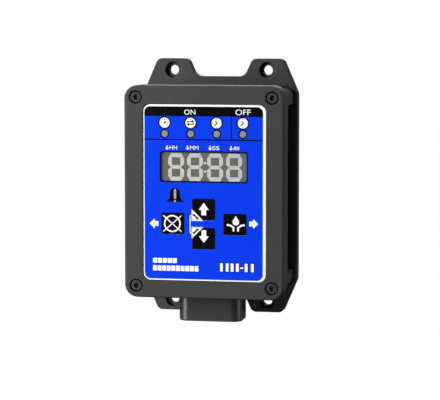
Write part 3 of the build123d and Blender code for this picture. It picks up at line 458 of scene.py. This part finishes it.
def lettering(words, bounds, bottom, top, weight=0.0):
    """Solid letters that fill bounds."""
    curve = bpy.data.curves.new("letters", "FONT")
    curve.body = words
    curve.size = bounds[3] - bounds[1]
    curve.extrude = (top - bottom) / 2
    curve.offset = weight
    curve.resolution_u = 6
    mesh = flat_mesh(curve)
    xs = [vertex.co.x for vertex in mesh.vertices]
    zs = [vertex.co.z for vertex in mesh.vertices]
    scale_x = (bounds[2] - bounds[0]) / (max(xs) - min(xs))
    scale_z = (bounds[3] - bounds[1]) / (max(zs) - min(zs))
    mesh.transform(Matrix.Translation((-min(xs), 0, -min(zs))))
    mesh.transform(Matrix.Diagonal((scale_x, 1, scale_z, 1)))
    mesh.transform(Matrix.Translation((bounds[0], -(bottom + top) / 2, bounds[1])))
    return mesh


def printed(name, meshes, front, ink, body):
    """One pass of ink: flat solids joined into one piece on the surface at front."""
    joined = bmesh.new()
    for mesh in meshes:
        joined.from_mesh(mesh)
        bpy.data.meshes.remove(mesh)
    bmesh.ops.remove_doubles(joined, verts=joined.verts, dist=1e-5)
    mesh = bpy.data.meshes.new(name)
    joined.to_mesh(mesh)
    joined.free()
    mesh.transform(Matrix.Scale(MM, 4) @ Matrix.Translation((0, front, 0)))
    mesh.materials.append(INKS[ink])
    piece = bpy.data.objects.new(name, mesh)
    bpy.context.collection.objects.link(piece)
    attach(piece, body)
    return piece


INK = 0.03                      # thickness of one pass of ink

# ---- blue field --------------------------------------------------------------------------------
FIELD = (FILM_X0 + 0.6, FILM_Z0 + 0.65, FILM_X1 - 1.5, FILM_Z1 - 1.05)
FIELD_R = 3.0
WINDOW_R = 1.6
DOT_R = 0.55
BAR_LENGTH = 5.2
BAR_TOP = ALARM_BOX[3]
BAR_BOTTOM = BAR_TOP - BAR_LENGTH
DOT_Z = ALARM_BOX[1] + DOT_R


def bar_outline():
    """The alarm window's upright bar."""
    radius = ALARM_W / 2
    return box(ALARM_X - radius, BAR_BOTTOM, ALARM_X + radius, BAR_TOP, radius, radius)


def key_opening(name):
    """The hole round one key."""
    x, z = KEY_CENTRES[name]
    half_w = KEY_HALF_W + KEY_GAP
    half_h = KEY_HALF_H + KEY_GAP
    return box(x - half_w, z - half_h, x + half_w, z + half_h, KEY_OPENING_R, KEY_OPENING_R)


field_loops = [box(*FIELD, FIELD_R, FIELD_R), box(*WINDOW, WINDOW_R, WINDOW_R)]
field_loops += [disc(x, LED_Z, LED_R) for x in LED_X]
field_loops += [bar_outline(), disc(ALARM_X, DOT_Z, DOT_R)]
field_loops += [key_opening(name) for name in KEY_CENTRES]
printed("panel_blue_field", [cut_out(field_loops, 0, INK)], FILM_FRONT, "blue_ink", "root")

# ---- dark lines and rings ----------------------------------------------------------------------
BAND_Z = 38.55
DIVIDER_Z = 26.72
DIVIDER_W = 0.65
SPLIT_X = 14.17
SPLIT_W = 0.5
ICON_Z = 35.22
ICON_R = 2.6
ICON_RING_R = 3.28
LED_RING_R = 2.3
WINDOW_LINE = (WINDOW[0] - 0.45, WINDOW[1] - 0.25, WINDOW[2] + 0.45, WINDOW[3] + 0.45)
WINDOW_VIEW = (WINDOW[0] + 0.2, WINDOW[1] + 0.4, WINDOW[2] - 0.15, WINDOW[3] - 0.15)

window_line = [box(*WINDOW_LINE, WINDOW_R, WINDOW_R), box(*WINDOW_VIEW, WINDOW_R, WINDOW_R)]
divider = box(FIELD[0], DIVIDER_Z - DIVIDER_W / 2, FIELD[2], DIVIDER_Z + DIVIDER_W / 2)
split = box(SPLIT_X - SPLIT_W / 2, DIVIDER_Z + DIVIDER_W / 2, SPLIT_X + SPLIT_W / 2, BAND_Z)
navy = [cut_out(loops, INK, 2 * INK) for loops in (window_line, [divider], [split])]
for x in LED_X:
    navy.append(cut_out([disc(x, LED_Z, LED_RING_R), disc(x, LED_Z, LED_R)], INK, 2 * INK))
    navy.append(cut_out([disc(x, ICON_Z, ICON_RING_R)], INK, 2 * INK))

# Two short rules of blocks and a row of outlined blocks stand where a maker would print a name.
BLOCK_GAP = 0.35
BLOCK_R = 0.25
MARK_BAR = 1.5


def block_row(x0, z0, x1, z1, count, gap=BLOCK_GAP):
    """Bounds of count equal blocks side by side."""
    width = (x1 - x0 - gap * (count - 1)) / count
    return [(x0 + i * (width + gap), z0, x0 + i * (width + gap) + width, z1) for i in range(count)]


title_blocks = block_row(-26.3, -36.1, -13.9, -33.6, 5) + block_row(-26.3, -40.1, -2.7, -37.4, 10)
mark_blocks = [(18.75, -38.3, 20.45, -37.4)]
for x0, x1 in ((8.4, 12.9), (13.9, 18.1), (21.1, 25.8)):
    mark_blocks += [(x0, -39.8, x0 + MARK_BAR, -35.6), (x1 - MARK_BAR, -39.8, x1, -35.6)]
MARK_LINE = 0.3
for bounds in mark_blocks:
    navy.append(cut_out([box(*grown(bounds, MARK_LINE), BLOCK_R, BLOCK_R)], INK, 2 * INK))
printed("panel_navy_lines", navy, FILM_FRONT, "navy_ink", "root")

# ---- black band and bell -----------------------------------------------------------------------
BELL_TOP = 2.3
BELL_HALF = 2.55
BELL_SHOULDER_Z = -1.7
BELL_FLARE = 4.75
BELL_CURVE = 0.35               # how far the flare's curve falls inside its chord
BELL_BASE_Z = -4.85
DOT_CUT = math.degrees(math.asin((BELL_BASE_Z - DOT_Z) / DOT_R))


def flare():
    """One side of the bell from shoulder to rim, as distances from its axis and heights."""
    steps = 8
    points = []
    for i in range(steps + 1):
        t = i / steps
        chord_x = BELL_HALF + t * (BELL_FLARE - BELL_HALF)
        chord_z = BELL_SHOULDER_Z + t * (BELL_BASE_Z - BELL_SHOULDER_Z)
        hollow = BELL_CURVE * math.sin(math.pi * t)
        points.append((chord_x - hollow, chord_z - hollow))
    return points


bell = arc(ALARM_X, BELL_TOP - BELL_HALF, BELL_HALF, 0, 180)
bell += [(ALARM_X - dx, z) for dx, z in flare()]
bell += arc(ALARM_X, DOT_Z, DOT_R, 180 - DOT_CUT, DOT_CUT)
bell += [(ALARM_X + dx, z) for dx, z in reversed(flare())]
black = [
    cut_out([box(FIELD[0], BAND_Z, FIELD[2], FIELD[3], 0, FIELD_R)], INK, 2 * INK),
    cut_out([bell, bar_outline()], INK, 2 * INK),
]
printed("panel_black_band", black, FILM_FRONT, "black_ink", "root")

# ---- white marks -------------------------------------------------------------------------------
LABEL_Z0 = 21.65
LABEL_Z1 = 23.65
LABELS = {
    "HH": (-18.83, -17.56, -13.69),
    "MM": (-8.22, -6.98, -2.61),
    "SS": (3.35, 4.48, 8.07),
    "##": (14.10, 15.23, 18.44),
}
LABEL_ARROW = arrow(1.1, 1.0, 2.3, 0.25)
LABEL_ARROW_Z = 21.45
SIDE_ARROW = arrow(2.62, 2.5, 4.65, 1.25)
SIDE_ARROW_PLACES = ((1, -28.0, -16.05), (3, 28.04, -15.35))    # quarter turns, x, z

white = [cut_out([disc(x, ICON_Z, ICON_R)], INK, 3 * INK) for x in LED_X]
white.append(lettering("ON", (-9.94, 39.34, -4.19, 41.95), INK, 3 * INK))
white.append(lettering("OFF", (16.34, 39.37, 24.08, 42.2), INK, 3 * INK))
for words, (arrow_x, x0, x1) in LABELS.items():
    white.append(lettering(words, (x0, LABEL_Z0, x1, LABEL_Z1), INK, 3 * INK))
    white.append(cut_out([turned(LABEL_ARROW, 2, arrow_x, LABEL_ARROW_Z)], INK, 3 * INK))
for quarter_turns, x, z in SIDE_ARROW_PLACES:
    white.append(cut_out([turned(SIDE_ARROW, quarter_turns, x, z)], INK, 3 * INK))
for bounds in title_blocks + mark_blocks:
    white.append(cut_out([box(*bounds, BLOCK_R, BLOCK_R)], INK, 3 * INK))

# A white triangle lies across the inner corner of the up key and of the down key. The part on
# the key moves with it; the rest is on the panel.
LEG = 6.0
CORNER_X = 0.4                  # the triangle's corner lies this far outside the key's corner
CORNER_Z = 0.55
MARK_SUM = 4.25                 # how far the mark's line lies from the corner, x and z together
MARK_START = 1.25               # x of the mark's first end, from the corner
MARK_END = 3.0
MARK_LINE_W = 0.8
MARK_FOOT_W = 1.2               # the small bar at each end of the mark
MARK_FOOT_H = 0.9


def corner_triangle(sign):
    """(part on the key, part on the panel, mark) for the up key (+1) or the down key (-1)."""
    key_x, key_z = KEY_CENTRES["up" if sign > 0 else "down"]
    edge_x = key_x - KEY_HALF_W
    edge_z = key_z - sign * KEY_HALF_H
    x = edge_x - CORNER_X
    z = edge_z - sign * CORNER_Z

    def slope_z(at_x):
        """Height of the long side above an x."""
        return z + sign * (LEG - (at_x - x))

    def slope_x(at_z):
        """Place of the long side beside a z."""
        return x + LEG - sign * (at_z - z)

    gap_x = edge_x - KEY_GAP
    gap_z = edge_z - sign * KEY_GAP
    on_key = [(edge_x, edge_z), (slope_x(edge_z), edge_z), (edge_x, slope_z(edge_x))]
    on_panel = [
        (x, z),
        (x + LEG, z),
        (slope_x(gap_z), gap_z),
        (gap_x, gap_z),
        (gap_x, slope_z(gap_x)),
        (x, z + sign * LEG),
    ]
    ends = [(x + dx, z + sign * (MARK_SUM - dx)) for dx in (MARK_START, MARK_END)]
    mark = [stroke(ends, MARK_LINE_W)]
    for end_x, end_z in ends:
        half_w, half_h = MARK_FOOT_W / 2, MARK_FOOT_H / 2
        mark.append(box(end_x - half_w, end_z - half_h, end_x + half_w, end_z + half_h))
    return on_key, on_panel, mark


triangles = {"up": corner_triangle(1), "down": corner_triangle(-1)}
for _, on_panel, _ in triangles.values():
    white.append(cut_out([on_panel], INK, 3 * INK))

BRACKET_X = -6.95
BRACKET_W = 0.46
TRIANGLE_X = KEY_CENTRES["up"][0] - KEY_HALF_W - CORNER_X
bracket = [(TRIANGLE_X, -11.4), (BRACKET_X, -11.8), (BRACKET_X, -20.4), (TRIANGLE_X, -20.75)]
white.append(cut_out([stroke(bracket, BRACKET_W)], INK, 3 * INK))
printed("panel_white_marks", white, FILM_FRONT, "white_ink", "root")

# ---- symbols on the round icons ----------------------------------------------------------------
GAUGE_TICK = (1.5, 2.0, 0.3)    # inner end, outer end, width
CLOCK_TICK = (1.95, 2.5, 0.34)
NEEDLE_W = 0.7
HANDS_W = 0.5
RAIL_W = 0.48
RAIL_X = 1.55
RAIL_Z = 0.68


def tick(x, degrees, inner, outer, width):
    """Short line that points away from an icon's centre."""
    a = math.radians(degrees)
    towards = Vector((math.cos(a), math.sin(a)))
    centre = Vector((x, ICON_Z))
    return stroke([tuple(centre + towards * inner), tuple(centre + towards * outer)], width)


gauge_x, loop_x, clock_x, off_x = LED_X
symbols = [cut_out([tick(gauge_x, -30 + 30 * i, *GAUGE_TICK)], 3 * INK, 4 * INK) for i in range(9)]
needle = stroke([(gauge_x - 0.4, ICON_Z - 0.35), (gauge_x + 0.8, ICON_Z + 0.7)], NEEDLE_W)
symbols.append(cut_out([needle], 3 * INK, 4 * INK))

for sign in (1, -1):
    rail_x = loop_x - sign * RAIL_X
    z = ICON_Z + sign * RAIL_Z
    rail = stroke([(rail_x, z - sign * 0.55), (rail_x, z), (loop_x + sign * 0.8, z)], RAIL_W)
    head = turned(arrow(1.1, 0.95, 1.1, 0.2), 3 if sign > 0 else 1, loop_x + sign * 1.85, z)
    symbols.append(cut_out([rail], 3 * INK, 4 * INK))
    symbols.append(cut_out([head], 3 * INK, 4 * INK))

for x in (clock_x, off_x):
    hands = stroke([(x - 0.75, ICON_Z + 1.15), (x + 0.35, ICON_Z + 0.05), (x - 1.15, ICON_Z - 1.2)], HANDS_W)
    symbols.append(cut_out([hands], 3 * INK, 4 * INK))
    symbols += [cut_out([tick(x, 90 * i, *CLOCK_TICK)], 3 * INK, 4 * INK) for i in range(4)]
printed("icon_symbols", symbols, FILM_FRONT, "black_ink", "root")

# ---- key symbols -------------------------------------------------------------------------------


def fused(meshes):
    """Overlapping solids made into one."""
    base = bpy.data.objects.new("base", meshes[0])
    bpy.context.collection.objects.link(base)
    others = []
    for mesh in meshes[1:]:
        other = bpy.data.objects.new("other", mesh)
        bpy.context.collection.objects.link(other)
        join = base.modifiers.new("join", "BOOLEAN")
        join.operation = "UNION"
        join.solver = "EXACT"
        join.object = other
        others.append(other)
    bpy.context.view_layer.update()
    result = bpy.data.meshes.new_from_object(base.evaluated_get(bpy.context.evaluated_depsgraph_get()))
    for item in [base, *others]:
        bpy.data.objects.remove(item)
    return result


UP_ARROW = arrow(3.6, 2.6, 6.35, 1.26)
DOWN_ARROW = arrow(3.32, 2.6, 6.37, 1.2)
up_x, up_z = KEY_CENTRES["up"]
down_x, down_z = KEY_CENTRES["down"]
for name, pointer in (
    ("up", turned(UP_ARROW, 0, up_x + 0.05, up_z + 3.4)),
    ("down", turned(DOWN_ARROW, 2, down_x + 0.1, down_z - 2.05)),
):
    on_key, _, mark = triangles[name]
    body = name + "_key"
    whites = [cut_out([pointer], 0, INK), cut_out([on_key], 0, INK)]
    printed("key_" + name + "_marks", whites, KEY_FRONT, "white_ink", body)
    slot = fused([cut_out([part], INK, 2 * INK) for part in mark])
    printed("key_" + name + "_slot", [slot], KEY_FRONT, "black_ink", body)

# Left key: a ring crossed by two bars.
CROSS_R = 4.37
CROSS_LINE = 0.74
CROSS_BAR = 0.54
CROSS_REACH_X = 4.72
CROSS_REACH_Z = 4.1
cross_x, cross_z = KEY_CENTRES["left"][0] - 0.3, KEY_CENTRES["left"][1] - 0.1
cross = [cut_out([disc(cross_x, cross_z, CROSS_R), disc(cross_x, cross_z, CROSS_R - CROSS_LINE)], 0, INK)]
for sign in (1, -1):
    rise = sign * CROSS_REACH_Z
    bar_ends = [(cross_x - CROSS_REACH_X, cross_z - rise), (cross_x + CROSS_REACH_X, cross_z + rise)]
    bar = stroke(bar_ends, CROSS_BAR)
    cross.append(cut_out([bar], 0, INK))
printed("key_left_marks", [fused(cross)], KEY_FRONT, "white_ink", "left_key")

# Right key: a drop above two leaves.
drop_x, drop_z = KEY_CENTRES["right"][0] + 0.43, KEY_CENTRES["right"][1] + 1.3
DROP_R = 1.7
DROP_TIP = 2.95
LEAF = [(4.6, -1.55), (2.7, -1.8), (1.15, -2.95), (1.15, -4.75)]
LEAF_W = 0.95
tangent = math.degrees(math.acos(DROP_R / DROP_TIP))
drop = [(drop_x, drop_z + DROP_TIP)] + arc(drop_x, drop_z, DROP_R, 90 + tangent, 450 - tangent)
leaves = [cut_out([drop], 0, INK)]
for sign in (1, -1):
    leaf = [(drop_x + sign * dx, drop_z + dz) for dx, dz in LEAF]
    leaves.append(cut_out([stroke(leaf, LEAF_W)], 0, INK))
printed("key_right_marks", leaves, KEY_FRONT, "white_ink", "right_key")

# ---- floor -------------------------------------------------------------------------------------


def make_floor():
    """Wide pale floor below the object; it shows to the camera but throws no light back."""
    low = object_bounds()[0]
    z = low[2] - FLOOR_DROP
    mesh = bpy.data.meshes.new("floor")
    half = FLOOR_HALF
    corners = [(-half, -half), (half, -half), (half, half), (-half, half)]
    mesh.from_pydata([(x, y, z) for x, y in corners], [], [(0, 1, 2, 3)])
    material = bpy.data.materials.new("pale_floor")
    material.use_nodes = True
    shader = material.node_tree.nodes["Principled BSDF"]
    shader.inputs["Base Color"].default_value = (0.05, 0.05, 0.05, 1)
    shader.inputs["Roughness"].default_value = 1.0
    shader.inputs["Specular IOR Level"].default_value = 0.0
    shader.inputs["Emission Color"].default_value = (1, 1, 1, 1)
    shader.inputs["Emission Strength"].default_value = FLOOR_GLOW
    mesh.materials.append(material)
    floor = bpy.data.objects.new("floor", mesh)
    floor.visible_diffuse = False
    floor.visible_glossy = False
    floor.visible_shadow = False
    bpy.context.collection.objects.link(floor)


make_floor()
